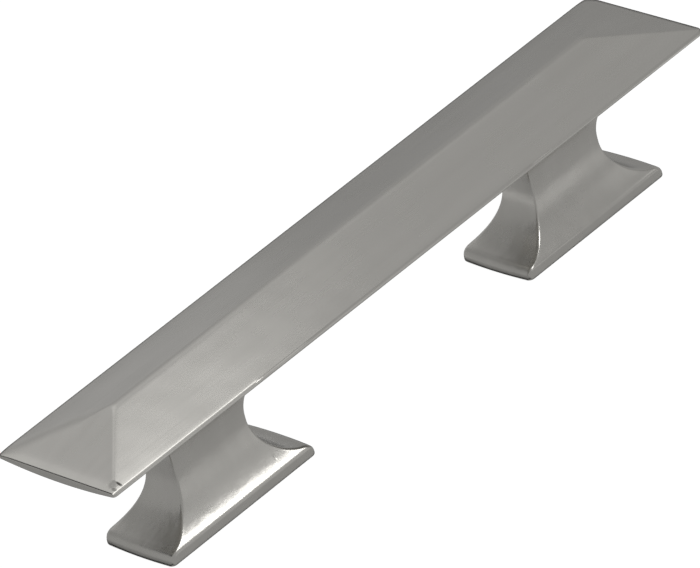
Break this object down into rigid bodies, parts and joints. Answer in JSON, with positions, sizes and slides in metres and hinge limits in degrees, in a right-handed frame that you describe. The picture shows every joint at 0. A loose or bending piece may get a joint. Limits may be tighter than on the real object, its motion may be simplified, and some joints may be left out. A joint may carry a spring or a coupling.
{
  "type": "cabinet handle",
  "caption": "Cast cabinet pull: a flat bar with a hipped top on flared pedestals, held by screws from behind the door or drawer front.",
  "frame": {"origin": "midway between the two screw holes, on the plane of the feet, which is the face of the door or drawer front", "axes": "+X along the bar, +Y across the bar, +Z away from the door or drawer front, towards the hand"},
  "size_m": [0.126, 0.0234, 0.024],
  "materials": {
    "satin_nickel": "satin nickel plate on a zinc die casting"
  },
  "bodies": {
    "root": {"handle": "satin_nickel"}
  },
  "joints": []
}
